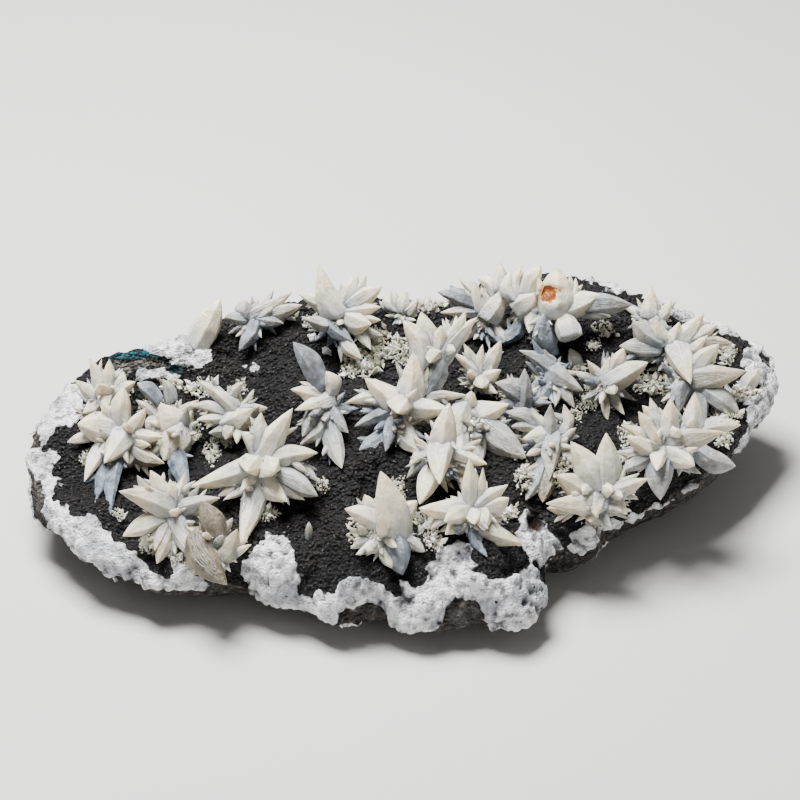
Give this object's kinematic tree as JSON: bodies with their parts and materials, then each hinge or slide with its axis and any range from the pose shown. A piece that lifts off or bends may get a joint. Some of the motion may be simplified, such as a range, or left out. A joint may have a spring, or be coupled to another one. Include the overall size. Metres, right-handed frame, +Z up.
{
  "type": "calcite specimen",
  "caption": "Plate of black drusy basalt with a white crust rim, its upper face set with sprays of pointed cream and blue-grey calcite crystals; rests on the rock's flat underside",
  "frame": {"origin": "the middle of the specimen's length and depth, at the height of the flat that the rock rests on", "axes": "+X runs along the specimen's length to the right end, +Y to its high back edge, and +Z up out of the crystal-covered face"},
  "size_m": [0.2844, 0.1702, 0.083],
  "materials": {
    "basalt": "rough black druse with a white porous crust round the rim",
    "calcite_cream": "waxy, fine-grained, slightly see-through at the edges",
    "calcite_grey": "satin, faintly ridged",
    "calcite_frosted": "sugary"
  },
  "bodies": {
    "root": {"matrix": "basalt", "spray_left_back": "calcite_cream", "spray_left_end": "calcite_cream", "spray_left_front": "calcite_cream", "spray_left_middle": "calcite_cream", "crystals_frosted": "calcite_frosted", "spray_dome": "calcite_cream", "spray_back_peak": "calcite_cream", "crystals_back_row": "calcite_cream", "leaf_back_left": "calcite_cream", "spray_back_low": "calcite_grey", "spray_centre": "calcite_cream", "spray_centre_front": "calcite_cream", "spray_star": "calcite_cream", "spray_front": "calcite_cream", "spray_back_right": "calcite_cream", "crystals_middle_right": "calcite_grey", "crystals_tall_grey": "calcite_grey", "spike_middle_right": "calcite_cream", "spray_column": "calcite_cream", "spray_right_end": "calcite_cream", "spray_right_small": "calcite_cream", "spray_right_front": "calcite_cream", "spray_right_low": "calcite_cream", "crystal_right_rim": "calcite_cream", "crystal_tiny_front": "calcite_cream"}
  },
  "joints": []
}
